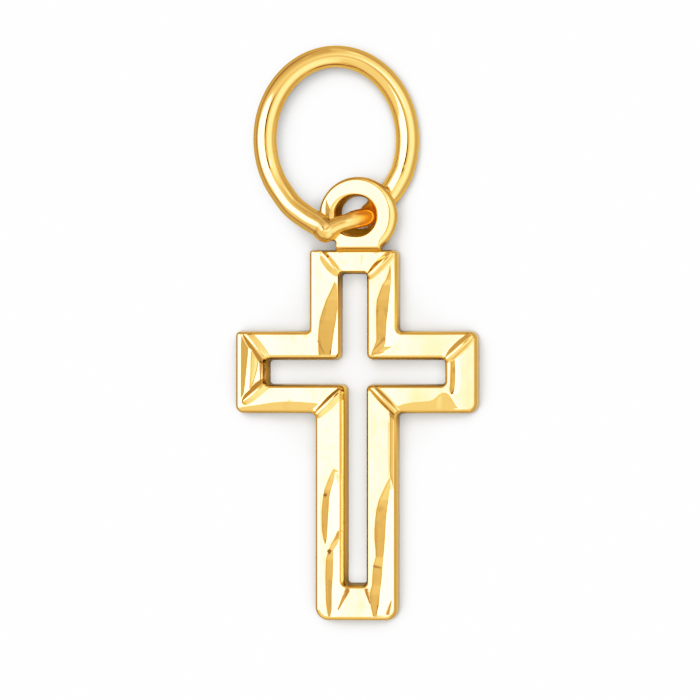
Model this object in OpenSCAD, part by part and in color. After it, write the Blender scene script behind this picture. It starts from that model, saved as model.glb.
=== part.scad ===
// Openwork cross pendant with a flat eyelet and a round jump ring, lying on its back.
// X runs across the arms, Y up the pendant and Z out of its front face. The origin is on the
// surface that it lies on, below the middle of the whole pendant.

/* [Cross outline] */
// Height of the whole pendant, from the cross's bottom edge to the top of the jump ring
pendant_h = 17; // [16.9:0.05:17.1]
// Height of the cross without its eyelet
cross_h = 10.95; // [10.8:0.05:11.1]
// Width across the side arms
cross_w = 7.2; // [6.8:0.05:7.6]
// Height of the side arms' middle line above the bottom edge
arm_y = 7.34; // [7.1:0.02:7.5]
// Width of the side arms, edge to edge
arm_w = 2.45; // [2.3:0.05:2.6]
// Width of the upper arm
upper_w = 2.67; // [2.5:0.01:2.8]
// How far the upper arm stands off the middle line
upper_shift = -0.08; // [-0.1:0.01:0]
// Width of the lower arm
lower_w = 2.47; // [2.4:0.01:2.6]

/* [Frame bars] */
// Width of the four upright bars at the back
upright_bar = 0.96; // [0.85:0.01:1]
// Width of the side arms' long bars
side_bar = 0.875; // [0.8:0.005:0.95]
// Width of the bars that close the side arms
end_bar = 1; // [0.9:0.01:1.1]
// Width of the bar at the top
top_bar = 0.71; // [0.65:0.01:0.8]
// Width of the bar at the bottom
bottom_bar = 1.1; // [1:0.01:1.2]
// How far each side wall leans in from the back to the front
wall_draft = 0.15; // [0.1:0.01:0.16]

/* [Cut faces] */
// Thickness from the back to the crest of the mitre ridges
crest_z = 1.12; // [1:0.02:1.2]
// How far the cut faces lie below the ridges
face_drop = 0.06; // [0.03:0.01:0.1]
// Slope of the ridges' flanks in degrees
flank_angle = 30; // [20:1:45]
// Width of the narrow flat along each ridge's top
crest_w = 0.06; // [0.04:0.01:0.08]

/* [Eyelet] */
// Outer diameter of the eyelet
eyelet_d = 2.3; // [2.2:0.02:2.4]
// Diameter of its hole at the front
hole_front_d = 1.28; // [1.24:0.01:1.3]
// Diameter of its hole at the back
hole_back_d = 1.16; // [1.14:0.01:1.2]
// Height of its back above the surface, which leaves room for the ring's wire
eyelet_z = 0.74; // [0.74:0.01:0.76]
// Thickness of the eyelet
eyelet_t = 0.5; // [0.45:0.01:0.5]
// Width of the neck that joins it to the top bar
neck_w = 1.26; // [1:0.02:1.4]

/* [Jump ring] */
// Thickness of the ring's wire
wire_d = 0.69; // [0.66:0.01:0.69]
// How much thinner the wire is at the top of the ring
wire_thinning = 0.044; // [0:0.002:0.05]
// Width of the ring from one side's wire centre to the other's
ring_w = 4.23; // [4.2:0.01:4.26]
// How much the ring rises from its right side to its left, for each mm across
ring_tilt = 0.2; // [0.18:0.01:0.22]
// Number of flats round the wire
wire_sides = 16; // [10:1:16]
// Rings of points between two points of the route
route_steps = 2; // [1:1:3]

/* [Hidden] */
gold = "gold";

face_z = crest_z - face_drop;
mid_y = pendant_h / 2;
left_x = -cross_w / 2;
right_x = cross_w / 2;
arm_bottom = arm_y - arm_w / 2;
arm_top = arm_y + arm_w / 2;
upper_left = upper_shift - upper_w / 2;
upper_right = upper_shift + upper_w / 2;
lower_left = -lower_w / 2;
lower_right = lower_w / 2;

slot_bottom = arm_bottom + side_bar;
slot_top = arm_top - side_bar;
slot_left = left_x + end_bar;
slot_right = right_x - end_bar;
upper_slot_left = upper_left + upright_bar;
upper_slot_right = upper_right - upright_bar;
lower_slot_left = lower_left + upright_bar;
lower_slot_right = lower_right - upright_bar;
top_slot = cross_h - top_bar;
bottom_slot = bottom_bar;

// Corners of the outline at the back and of the opening inside it, in the same order round the
// frame: a ridge joins the two corners of the same number
OUTER = [
    [upper_left, cross_h], [upper_right, cross_h], [upper_right, arm_top], [right_x, arm_top],
    [right_x, arm_bottom], [lower_right, arm_bottom], [lower_right, 0], [lower_left, 0],
    [lower_left, arm_bottom], [left_x, arm_bottom], [left_x, arm_top], [upper_left, arm_top]
];
INNER = [
    [upper_slot_left, top_slot], [upper_slot_right, top_slot], [upper_slot_right, slot_top],
    [slot_right, slot_top], [slot_right, slot_bottom], [lower_slot_right, slot_bottom],
    [lower_slot_right, bottom_slot], [lower_slot_left, bottom_slot],
    [lower_slot_left, slot_bottom], [slot_left, slot_bottom], [slot_left, slot_top],
    [upper_slot_left, slot_top]
];

// Rounded corners of the outline: x, y, direction of the metal in x and in y, radius at the back
CORNERS = [
    [upper_left, cross_h, 1, -1, 0.2], [upper_right, cross_h, -1, -1, 0.22],
    [right_x, arm_top, -1, -1, 0.25], [right_x, arm_bottom, -1, 1, 0.3],
    [lower_right, 0, -1, 1, 0.36], [lower_left, 0, 1, 1, 0.42],
    [left_x, arm_bottom, 1, 1, 0.25], [left_x, arm_top, 1, -1, 0.2]
];

eyelet_x = 0.07;
eyelet_y = 11.94;
eyelet_round = 0.19;
eyelet_back_round = 0.1;
hole_bevel = 0.12;
neck_bottom = 10.82;
neck_top = 11.4;
neck_back = 0.3;
overlap = 0.3;
corner_edge = 0.02;
past = 0.1;
beyond = 0.01;

wire_r = wire_d / 2;
arc_x = -0.624;
arc_y = 14.195;
arc_a = ring_w / 2;
arc_b = pendant_h - wire_r + wire_thinning / 2 - arc_y;
arc_start = 220;
arc_end = -25;
arc_points = 15;
ring_lean = 0.1;
joint_climb = 0.16;
climb_from = 190;

// The wire's route where it leaves the round and passes through the eyelet, from the right side
// round to the left: x, y and z of its centre and its radius
PASSAGE = [
    [1.03, 12.7, 0.355, 0.345], [0.81, 12.46, 0.335, 0.33], [0.62, 12.3, 0.33, 0.3],
    [0.44, 12.16, 0.43, 0.27], [0.31, 12.06, 0.73, 0.26], [0.19, 11.96, 1.05, 0.25],
    [-0.01, 11.84, 1.37, 0.235], [-0.23, 11.75, 1.52, 0.22], [-0.46, 11.66, 1.57, 0.23],
    [-0.68, 11.56, 1.59, 0.26], [-0.82, 11.46, 1.59, 0.3], [-0.93, 11.6, 1.585, 0.325],
    [-1.131, 11.716, 1.55, 0.345], [-1.452, 11.91, 1.45, 0.345], [-1.835, 12.21, 1.35, 0.345]
];

// A block whose four sides lean by wall_draft over the full thickness: inward if lean is 1,
// outward if it is -1. With extra it runs that much past the back and the crest
module drafted_block(l, r, b, t, lean, extra = 0) {
    slope = lean * wall_draft / crest_z;
    z0 = -extra;
    z1 = crest_z + extra;
    intersection() {
        translate([0, t + 1, 0]) rotate([90, 0, 0]) linear_extrude(t - b + 2)
            polygon([
                [l + slope * z0, z0], [r - slope * z0, z0], [r - slope * z1, z1],
                [l + slope * z1, z1]
            ]);
        translate([l - 1, 0, 0]) rotate([90, 0, 90]) linear_extrude(r - l + 2)
            polygon([
                [b + slope * z0, z0], [t - slope * z0, z0], [t - slope * z1, z1],
                [b + slope * z1, z1]
            ]);
    }
}

// What is taken off one corner of the outline, which leaves it round and leaning like the walls.
// The round part meets the walls at a slight edge
module corner_cut(x, y, dx, dy, r) {
    cx = x + dx * r;
    cy = y + dy * r;
    side = r + overlap;
    slope = wall_draft / crest_z;
    round_r = r + corner_edge;
    translate([0, 0, -past]) difference() {
        translate([dx > 0 ? cx - side : cx, dy > 0 ? cy - side : cy, 0])
            cube([side, side, crest_z + 2 * past]);
        translate([cx, cy, 0]) cylinder(
            h = crest_z + 2 * past, r1 = round_r + slope * past,
            r2 = round_r - slope * (crest_z + past), $fn = 72
        );
    }
}

function unit(v) = v / norm(v);

// One mitre ridge, from beyond the outer corner to beyond the inner one: a bar with sloping flanks
// that stand on the cut faces and a narrow top that runs past the crest
module ridge(k) {
    along = INNER[k] - OUTER[k];
    top = crest_w / 2;
    foot = top + face_drop / tan(flank_angle);
    translate([OUTER[k][0], OUTER[k][1], 0]) rotate([0, 0, atan2(along[1], along[0])])
        translate([-overlap, 0, 0]) rotate([90, 0, 90]) linear_extrude(norm(along) + 2 * overlap)
            polygon([
                [-foot, face_z], [-foot, face_z - past], [foot, face_z - past], [foot, face_z],
                [top, crest_z], [top, crest_z + 2 * past], [-top, crest_z + 2 * past],
                [-top, crest_z]
            ]);
}

// What is taken off above the cut faces, which leaves the ridges standing
module face_cuts() {
    difference() {
        translate([left_x - overlap, -overlap, face_z])
            cube([cross_w + 2 * overlap, cross_h + 2 * overlap, crest_z - face_z + past]);
        for (k = [0 : len(OUTER) - 1]) ridge(k);
    }
}

module frame() {
    difference() {
        union() {
            drafted_block(left_x, right_x, arm_bottom, arm_top, 1);
            drafted_block(upper_left, upper_right, arm_y, cross_h, 1);
            drafted_block(lower_left, lower_right, 0, arm_y, 1);
        }
        drafted_block(slot_left, slot_right, slot_bottom, slot_top, -1, past);
        drafted_block(upper_slot_left, upper_slot_right, arm_y, top_slot, -1, past);
        drafted_block(lower_slot_left, lower_slot_right, bottom_slot, arm_y, -1, past);
        for (c = CORNERS) corner_cut(c[0], c[1], c[2], c[3], c[4]);
        face_cuts();
    }
}

// The flat ring on top of the cross, with its outer edge rounded and its hole a little conical
module eyelet() {
    r = eyelet_d / 2;
    top_z = eyelet_z + eyelet_t;
    translate([eyelet_x, eyelet_y, 0]) rotate_extrude($fn = 96) polygon([
        [hole_back_d / 2, eyelet_z], [r - eyelet_back_round, eyelet_z],
        [r, eyelet_z + eyelet_back_round], [r, top_z - eyelet_round],
        [r - eyelet_round / 3, top_z - eyelet_round / 3], [r - eyelet_round, top_z],
        [hole_front_d / 2, top_z], [hole_back_d / 2, top_z - hole_bevel]
    ]);
}

// The lug that joins the eyelet to the top bar's end wall, clear of the hole
module neck() {
    r = (eyelet_d + hole_front_d) / 4;
    difference() {
        translate([eyelet_x - neck_w / 2, neck_bottom, neck_back])
            cube([neck_w, neck_top - neck_bottom, eyelet_z + eyelet_t - neck_back - beyond]);
        translate([eyelet_x, eyelet_y, -beyond]) cylinder(h = 2, r = r, $fn = 72);
    }
}

module cross() {
    color(gold) translate([0, -mid_y, 0]) union() {
        frame();
        eyelet();
        neck();
    }
}

// The regular part of the ring's route: a round that is a little higher than wide, lies on its
// right side and rises to its left, and climbs a little more towards the joint
function arc_point(t) =
    let (
        r = wire_r - wire_thinning / 2 * pow(max(0, sin(t)), 2),
        climb = max(0, (t - climb_from) / (arc_start - climb_from)),
        rise = ring_tilt * arc_a * (1 - cos(t)) + joint_climb * pow(climb, 2)
    )
    [arc_x + arc_a * cos(t) + ring_lean * rise, arc_y + arc_b * sin(t), r + rise, r];

ROUTE = concat(PASSAGE, [
    for (i = [0 : arc_points - 1])
        arc_point(arc_start + (arc_end - arc_start) * i / (arc_points - 1))
]);

// A smooth curve through four neighbouring points, between the second and the third
function blend(p0, p1, p2, p3, t) =
    let (t2 = t * t, t3 = t2 * t)
    ((2 * p1) + (p2 - p0) * t + (2 * p0 - 5 * p1 + 4 * p2 - p3) * t2
        + (3 * p1 - p0 - 3 * p2 + p3) * t3) / 2;

function around(k) = ROUTE[(k + len(ROUTE)) % len(ROUTE)];

WIRE = [
    for (k = [0 : len(ROUTE) - 1], s = [0 : route_steps - 1])
        blend(around(k - 1), around(k), around(k + 1), around(k + 2), s / route_steps)
];

function place(p) = [p[0], p[1], p[2]];

// One ring of points round the wire, the first of them at its lowest
function wire_ring(k) =
    let (
        n = len(WIRE),
        p = WIRE[k],
        along = unit(place(WIRE[(k + 1) % n]) - place(WIRE[(k + n - 1) % n])),
        across = unit(cross(along, [0, 0, 1])),
        up = cross(across, along)
    )
    [
        for (j = [0 : wire_sides - 1])
            let (a = -90 + 360 * j / wire_sides)
            place(p) + p[3] * (cos(a) * across + sin(a) * up)
    ];

module jump_ring() {
    n = len(WIRE);
    m = wire_sides;
    color(gold) translate([0, -mid_y, 0]) polyhedron(
        points = [for (k = [0 : n - 1]) each wire_ring(k)],
        faces = [
            for (k = [0 : n - 1], j = [0 : m - 1])
                let (a = k * m, b = ((k + 1) % n) * m, q = (j + 1) % m)
                [a + j, a + q, b + q, b + j]
        ]
    );
}

cross();
jump_ring();
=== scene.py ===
# %% [markdown]
# # An openwork gold cross pendant, lying on its back
#
# The real piece is a small cast cross frame whose front is cut with a diamond tool, so that each bar
# has bright flat faces with narrow ridges between them. A flat eyelet stands on its top bar, and a
# round wire jump ring passes through it. The CAD part gives the sizes and the places. This script
# adds what the CAD leaves out: graver cuts, rounded edges, polish and light.
#
# ## The frame
#
# The pendant's overall sizes are read from it. The tables below give places on the pieces in
# millimetres, as a goldsmith would measure them.

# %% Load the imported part
import math

import bmesh
import bpy
import numpy as np
from mathutils import Matrix, Vector, noise


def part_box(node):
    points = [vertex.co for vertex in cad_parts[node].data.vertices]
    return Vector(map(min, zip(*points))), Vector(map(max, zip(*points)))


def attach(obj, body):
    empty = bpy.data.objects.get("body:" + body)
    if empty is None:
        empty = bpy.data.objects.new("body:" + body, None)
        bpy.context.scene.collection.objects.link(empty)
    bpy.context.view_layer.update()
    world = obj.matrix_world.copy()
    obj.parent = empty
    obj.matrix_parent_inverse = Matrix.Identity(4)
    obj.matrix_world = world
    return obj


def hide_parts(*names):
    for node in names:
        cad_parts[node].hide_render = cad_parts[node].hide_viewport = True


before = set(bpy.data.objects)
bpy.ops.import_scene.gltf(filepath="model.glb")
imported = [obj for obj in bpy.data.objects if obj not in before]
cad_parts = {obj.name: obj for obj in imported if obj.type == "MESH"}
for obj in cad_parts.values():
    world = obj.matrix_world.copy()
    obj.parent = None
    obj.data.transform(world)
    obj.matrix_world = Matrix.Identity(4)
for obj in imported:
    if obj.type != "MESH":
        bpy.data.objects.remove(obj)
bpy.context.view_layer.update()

MM = 0.001
scene = bpy.context.scene
cross_low, cross_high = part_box("cross")
ring_low, ring_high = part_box("jump_ring")
print("the cross in mm:", [round(v / MM, 2) for v in cross_high - cross_low])
print("the ring in mm:", [round(v / MM, 2) for v in ring_high - ring_low])

# %% [markdown]
# ## Camera
#
# The pendant is seen almost straight from above, from a little to the right of the middle: the walls
# that face right show, and those that face left hide. A camera without perspective would show all
# such walls alike, so this one is a long lens about 120 mm away, which keeps the small perspective.

# %% Camera
SENSOR_WIDTH = 36
CLIP_NEAR, CLIP_FAR = 0.002, 10
camera_place = Vector((9.4, -0.5, 120)) * MM
looks_at = Vector((-0.24, -0.51, 0)) * MM
view_width = 20.75 * MM
camera_data = bpy.data.cameras.new("camera")
camera = bpy.data.objects.new("camera", camera_data)
scene.collection.objects.link(camera)
back = (camera_place - looks_at).normalized()
right = Vector((0, 1, 0)).cross(back).normalized()
up = back.cross(right)
camera.matrix_world = Matrix((
    (right.x, up.x, back.x, camera_place.x),
    (right.y, up.y, back.y, camera_place.y),
    (right.z, up.z, back.z, camera_place.z),
    (0, 0, 0, 1),
))
camera_data.sensor_width = SENSOR_WIDTH
camera_data.lens = SENSOR_WIDTH * (camera_place - looks_at).length / view_width
camera_data.clip_start = CLIP_NEAR
camera_data.clip_end = CLIP_FAR
scene.camera = camera
print("lens in mm:", round(camera_data.lens, 1))

# %% [markdown]
# ## Node helpers
#
# Shader nodes could be placed and joined one line at a time. Short helpers do it here, so that each
# material below reads as a list of steps.

# %% Node helpers
def add_node(tree, kind, inputs=None, **settings):
    """One node with its settings, and its inputs set to a number or joined to a socket."""
    made = tree.nodes.new(kind)
    for key, value in settings.items():
        setattr(made, key, value)
    for key, value in (inputs or {}).items():
        if isinstance(value, bpy.types.NodeSocket):
            tree.links.new(value, made.inputs[key])
        else:
            made.inputs[key].default_value = value
    return made


def calc(tree, operation, *values):
    """The result of one Math node."""
    return add_node(tree, "ShaderNodeMath", dict(enumerate(values)), operation=operation).outputs[0]


def smooth_step(tree, value, start, end, low=0.0, high=1.0):
    """low before start, high past end, and a smooth change between them."""
    made = add_node(
        tree, "ShaderNodeMapRange",
        {"Value": value, "From Min": start, "From Max": end, "To Min": low, "To Max": high},
        interpolation_type="SMOOTHSTEP",
    )
    return made.outputs["Result"]


print("node helpers ready")

# %% [markdown]
# Three more helpers mix two numbers or two colours, and turn a number into a row of colours.

# %% Helpers for mixing
def mix_values(tree, share, low, high):
    """low where share is 0, high where it is 1."""
    return add_node(tree, "ShaderNodeMix", {0: share, 2: low, 3: high}, data_type="FLOAT").outputs[0]


def mix_colours(tree, share, low, high):
    """low where share is 0, high where it is 1. Each is a red, green and blue, or a socket."""
    low, high = (c if isinstance(c, bpy.types.NodeSocket) else (*c, 1) for c in (low, high))
    return add_node(tree, "ShaderNodeMix", {0: share, 6: low, 7: high}, data_type="RGBA").outputs[2]


def ramp(tree, value, table, low, high):
    """A smooth row of colours. value and the places in the table run from low to high."""
    place = calc(tree, "DIVIDE", calc(tree, "SUBTRACT", value, low), high - low)
    made = add_node(tree, "ShaderNodeValToRGB", {"Fac": place})
    stops = made.color_ramp.elements
    for i, (at, colour) in enumerate(table):
        # a new ramp has two stops already
        stop = stops[i] if i < 2 else stops.new((at - low) / (high - low))
        stop.position = (at - low) / (high - low)
        stop.color = (*colour, 1)
    return made.outputs["Color"]


print("helpers for mixing ready")

# %% [markdown]
# ## Light
#
# Such a pendant is lit in a jeweller's light tent: soft pale walls all round, one white window on
# the left, and a darker opening right above for the lens. Polished gold mirrors the tent, so its
# flat faces look cream where they mirror the window, and gold where they mirror a wall or the
# opening. A face tilted by one degree mirrors a spot two degrees further on.
#
# The tent could be built from lit sheets. A sky that only the gold's mirror rays see is simpler,
# because each part of it is placed by its angle from straight above. The levels are brightness: 1
# gives gold its middle tone and 6 gives it white.

# %% Walls of the tent
LIGHT = 0.25
WALL_LEVEL = 1.35
# the walls from left to right, and from the foot to the head of the pendant: degrees, share
ACROSS = [
    (-96, 0.38), (-84, 0.49), (-72, 0.68), (-60, 0.9), (-45, 1.0), (14, 1.0), (24, 1.4), (36, 1.62),
    (60, 1.6), (72, 1.42), (84, 1.12), (96, 0.97),
]
ALONG = [
    (-84, 0.6), (-72, 0.68), (-66, 0.76), (-60, 0.88), (-48, 1.0), (16, 1.02), (24, 1.0), (30, 0.82),
    (36, 0.7), (44, 0.6), (54, 0.52), (62, 0.5), (72, 0.62), (84, 0.82),
]
# the share of its light that a wall keeps at the ground, and the height where it keeps all
AT_GROUND, FULL_HEIGHT = 0.55, 0.45
# a ramp's colours end at 1, so the shares pass through it halved
HALF = 0.5

world = bpy.data.worlds.new("light_tent")
scene.world = world
world.use_nodes = True
tent = world.node_tree
tent.nodes.clear()
direction = add_node(tent, "ShaderNodeTexCoord").outputs["Generated"]
parts = add_node(tent, "ShaderNodeSeparateXYZ", {"Vector": direction}).outputs
to_right = calc(tent, "DEGREES", calc(tent, "ARCTAN2", parts["X"], parts["Z"]))
to_head = calc(tent, "DEGREES", calc(tent, "ARCSINE", parts["Y"]))
across = ramp(tent, to_right, [(at, (share * HALF,) * 3) for at, share in ACROSS], -180, 180)
along = ramp(tent, to_head, [(at, (share * HALF,) * 3) for at, share in ALONG], -90, 90)
level = calc(tent, "MULTIPLY", calc(tent, "MULTIPLY", across, along), WALL_LEVEL / HALF ** 2)
level = calc(tent, "MULTIPLY", level, smooth_step(tent, parts["Z"], 0.0, FULL_HEIGHT, AT_GROUND, 1.0))
print("tent walls with", len(ACROSS), "and", len(ALONG), "steps")

# %% [markdown]
# The window reaches from just left of the opening far to the left. Its edge towards the head bows,
# and next to the opening it is less bright, which gives the faces a little colour.

# %% Window
WINDOW_LEVEL, LEVEL_AT_OPENING = 5.5, 2.8
# where each edge starts, outside, and where the window is whole, in degrees
RIGHT_EDGE, LEFT_EDGE, FOOT_EDGE, HEAD_EDGE = (0.4, -1.6), (-70.0, -56.0), (-13.0, -7.0), (3.0, -3.0)
# the head edge's height in the middle of the window, how far right that middle lies, and the bow
HEAD_HEIGHT, WINDOW_MIDDLE, BOW = 25.0, -34.0, 0.016
# from the edge at the opening to where the window is brightest
BRIGHTENS = (0.5, -7.0)

from_middle = calc(tent, "SUBTRACT", to_right, WINDOW_MIDDLE)
bow = calc(tent, "MULTIPLY", calc(tent, "POWER", from_middle, 2.0), BOW)
over_head_edge = calc(tent, "ADD", calc(tent, "SUBTRACT", to_head, HEAD_HEIGHT), bow)
window = smooth_step(tent, to_right, *RIGHT_EDGE)
for angle, edge in [(to_right, LEFT_EDGE), (to_head, FOOT_EDGE), (over_head_edge, HEAD_EDGE)]:
    window = calc(tent, "MULTIPLY", window, smooth_step(tent, angle, *edge))
window_level = smooth_step(tent, to_right, *BRIGHTENS, LEVEL_AT_OPENING, WINDOW_LEVEL)
level = mix_values(tent, window, level, window_level)
print("window of level", WINDOW_LEVEL)

# %% [markdown]
# Smaller things stand in the tent too: a reflector, two lamps, a gap between two sheets, and the
# opening with its rim and the dark lens. Each is a soft-edged ellipse laid over the ones before.

# %% Panels
# middle to the right and to the head, half sizes in degrees, softness, level
PANELS = {
    "reflector": (14, -10, 7, 10, 0.4, 2.0),
    "lamp": (27, 12, 6, 4, 0.4, 4.2),
    "far_lamp": (40, 51, 7, 6, 0.5, 2.3),
    "small_gap": (-15, 57, 6, 4, 0.5, 1.1),
    "opening_rim": (12, 0, 13, 11, 0.7, 0.97),
    "opening": (6.5, 1, 7, 8, 0.3, 0.8),
    "lens": (5.0, 6.8, 7.8, 4.4, 0.25, 0.07),
}
for x, y, half_x, half_y, softness, panel_level in PANELS.values():
    x_share = calc(tent, "DIVIDE", calc(tent, "SUBTRACT", to_right, x), half_x)
    y_share = calc(tent, "DIVIDE", calc(tent, "SUBTRACT", to_head, y), half_y)
    squares = [calc(tent, "POWER", share, 2.0) for share in (x_share, y_share)]
    distance = calc(tent, "SQRT", calc(tent, "ADD", *squares))
    mask = smooth_step(tent, distance, 1 + softness, 1 - softness)
    level = mix_values(tent, mask, level, panel_level)
print("light tent with", len(PANELS), "panels")

# %% [markdown]
# The bright parts of the tent are a little cool and the dark ones warm, as cloth in daylight is. Only
# mirror rays see the tent: the camera sees an even pale backdrop, and the lamp lights the paper.

# %% Colours of the tent
TOP_LEVEL, BACKDROP_LEVEL = 8.0, 2.0
# level, tint
TINTS = [
    (0.45, (1, 0.93, 0.62)), (0.75, (1, 0.98, 0.86)), (1.1, (1, 1, 1)), (1.8, (1, 1, 1.15)),
    (2.5, (1, 1, 1.4)), (3.6, (1, 1.03, 2.0)), (6.0, (1, 1, 1.7)),
]
tint = ramp(tent, level, TINTS, 0, TOP_LEVEL)
strength = calc(tent, "MULTIPLY", level, LIGHT)
tent_light = add_node(tent, "ShaderNodeBackground", {"Color": tint, "Strength": strength}).outputs[0]
backdrop = add_node(
    tent, "ShaderNodeBackground", {"Color": (1, 1, 1, 1), "Strength": BACKDROP_LEVEL * LIGHT}
).outputs[0]
dark = add_node(tent, "ShaderNodeBackground", {"Strength": 0.0}).outputs[0]
path = add_node(tent, "ShaderNodeLightPath").outputs
in_gold = add_node(
    tent, "ShaderNodeMixShader", {0: path["Is Glossy Ray"], 1: dark, 2: tent_light}
).outputs[0]
all_rays = add_node(
    tent, "ShaderNodeMixShader", {0: path["Is Camera Ray"], 1: in_gold, 2: backdrop}
).outputs[0]
add_node(tent, "ShaderNodeOutputWorld", {"Surface": all_rays})
print("tints from level", TINTS[0][0], "to", TINTS[-1][0])

# %% [markdown]
# A wide lamp above the tent lights the paper, so the shadow is a soft dark rim close to the gold. It
# stands a little towards the head and the left. The gold doesn't mirror it.

# %% Lamp
FLOOR_LEVEL, PAPER = 2.4, 0.86
LAMP_WIDTH = math.radians(52)
lamp_way = Vector((0.02, -0.085, -0.996))
lamp_data = bpy.data.lights.new("lamp", "SUN")
lamp_data.energy = FLOOR_LEVEL * LIGHT * math.pi / PAPER
lamp_data.angle = LAMP_WIDTH
lamp = bpy.data.objects.new("lamp", lamp_data)
scene.collection.objects.link(lamp)
lamp.rotation_euler = lamp_way.to_track_quat("-Z", "Y").to_euler()
lamp.visible_glossy = False
print("lamp strength:", round(lamp_data.energy, 2))

# %% [markdown]
# ## Tone curve
#
# A camera doesn't cut off bright tones at once: it rolls them off. This curve leaves the middle
# tones alone and bends the bright ones towards white, so the white floor keeps its soft shadow.

# %% Tone curve
view = scene.view_settings
view.view_transform = "Standard"
view.use_curve_mapping = True
tone = view.curve_mapping
# level, brightness in the picture
TONES = [
    (0.0, 0.0), (0.1, 0.1), (0.3, 0.3), (0.5, 0.497), (0.72, 0.651), (0.9, 0.768), (1.07, 0.863),
    (1.35, 0.94), (1.75, 0.98), (2.4, 0.993), (4.0, 1.0),
]
tones = [(at * LIGHT, brightness) for at, brightness in TONES]
# the last of the four curves is the one for all colours at once
curve = tone.curves[3]
curve.points[1].location = tones[-1]
tone.update()
for at, brightness in tones[1:-1]:
    curve.points.new(at, brightness)
tone.update()
print("tone curve with", len(curve.points), "points")

# %% [markdown]
# ## Floor
#
# A plain pale sheet of paper without gloss, large enough to fill the other views. Close to the gold
# it darkens and gets a little warmer, because the metal hides the tent's walls from it. The tent
# itself lights only the gold, so an Ambient Occlusion node measures how open each spot of the
# paper is, and its colour follows that. Polished walls close round a spot send light down to it, so
# the shade is weaker in narrow gaps and under the eyelet's hole.

# %% Shade on the paper
FLOOR_SIZE = 3.0
SHADE_REACH, SHADE_SAMPLES = 1.6 * MM, 12
# how closed a spot is where the shade is full, how fast it falls off, and the most of it
FULL_SHADE, SHADE_POWER, MOST_SHADE = 0.43, 1.7, 0.8
# how dark the full shade is in all, and by colour
SHADE_DEPTH, SHADE_TINT = 0.6, (1.0, 1.04, 1.1)
# openness from and to, then the share of the shade that stays
IN_NARROW_GAPS = (0.14, 0.19, 0.2, 1.0)
# the spot that shows through the hole, then the distances from it and the share of the shade
HOLE_SPOT = Vector((-0.03, 3.5, 0)) * MM
UNDER_HOLE = (0.36 * MM, 0.66 * MM, 0.25, 1.0)

paper = bpy.data.materials.new("paper")
paper.use_nodes = True
sheet = paper.node_tree
sheet.nodes.clear()
openness = add_node(
    sheet, "ShaderNodeAmbientOcclusion", {"Distance": SHADE_REACH}, samples=SHADE_SAMPLES
).outputs["AO"]
closed = calc(sheet, "DIVIDE", calc(sheet, "SUBTRACT", 1.0, openness), FULL_SHADE)
hidden = calc(sheet, "MINIMUM", calc(sheet, "POWER", closed, SHADE_POWER), MOST_SHADE)
hidden = calc(sheet, "MULTIPLY", hidden, smooth_step(sheet, openness, *IN_NARROW_GAPS))
place = add_node(sheet, "ShaderNodeTexCoord").outputs["Object"]
from_spot = add_node(
    sheet, "ShaderNodeVectorMath", {0: place, 1: HOLE_SPOT}, operation="DISTANCE"
).outputs["Value"]
hidden = calc(sheet, "MULTIPLY", hidden, smooth_step(sheet, from_spot, *UNDER_HOLE))
near_gold = tuple(PAPER * (1 - SHADE_DEPTH * t) for t in SHADE_TINT)
print("paper", PAPER, "and close to the gold", [round(v, 2) for v in near_gold])

# %% [markdown]
# In the gold's mirror the paper counts less than in the picture, and least between the walls, where
# little light reaches it. So mirror rays see a second, darker paper.

# %% Floor
# openness, colour
MIRRORED = [
    (0.0, (0.05, 0.045, 0.04)), (0.25, (0.2, 0.19, 0.175)), (0.6, (0.44, 0.44, 0.43)),
    (1.0, (0.25, 0.255, 0.26)),
]
shown = add_node(
    sheet, "ShaderNodeBsdfDiffuse", {"Color": mix_colours(sheet, hidden, (PAPER,) * 3, near_gold)}
).outputs[0]
mirrored = add_node(
    sheet, "ShaderNodeBsdfDiffuse", {"Color": ramp(sheet, openness, MIRRORED, 0, 1)}
).outputs[0]
in_mirror = add_node(sheet, "ShaderNodeLightPath").outputs["Is Glossy Ray"]
both = add_node(sheet, "ShaderNodeMixShader", {0: in_mirror, 1: shown, 2: mirrored}).outputs[0]
add_node(sheet, "ShaderNodeOutputMaterial", {"Surface": both})

floor_mesh = bpy.data.meshes.new("floor")
corners = [(-1, -1, 0), (1, -1, 0), (1, 1, 0), (-1, 1, 0)]
floor_mesh.from_pydata([Vector(c) * FLOOR_SIZE / 2 for c in corners], [], [(0, 1, 2, 3)])
floor_mesh.materials.append(paper)
floor = bpy.data.objects.new("floor", floor_mesh)
scene.collection.objects.link(floor)
print("floor", FLOOR_SIZE, "m wide")

# %% [markdown]
# ## Gold
#
# Polished yellow gold mirrors its surroundings, so most of the look is in the light and the shape.
# The material adds the colour, a little blur, and the slow waves that hand polishing leaves. The
# waves are far shallower than a hair, so a bump is enough, and both golds share one node group.

# %% Polish waves
WAVE_DETAIL = 2.0
waves_group = bpy.data.node_groups.new("polish_waves", "ShaderNodeTree")
SOCKETS = [
    ("Size", "NodeSocketFloat", "INPUT"), ("Depth", "NodeSocketFloat", "INPUT"),
    ("Normal", "NodeSocketVector", "OUTPUT"),
]
for name, kind, way in SOCKETS:
    waves_group.interface.new_socket(name, in_out=way, socket_type=kind)
given = add_node(waves_group, "NodeGroupInput").outputs
place = add_node(waves_group, "ShaderNodeTexCoord").outputs["Object"]
scale = calc(waves_group, "DIVIDE", 1.0, given["Size"])
waves = add_node(
    waves_group, "ShaderNodeTexNoise", {"Vector": place, "Scale": scale, "Detail": WAVE_DETAIL}
).outputs[0]
bump = add_node(
    waves_group, "ShaderNodeBump", {"Height": waves, "Strength": 1.0, "Distance": given["Depth"]}
)
add_node(waves_group, "NodeGroupOutput", {"Normal": bump.outputs["Normal"]})
print("node group:", waves_group.name)

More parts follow.
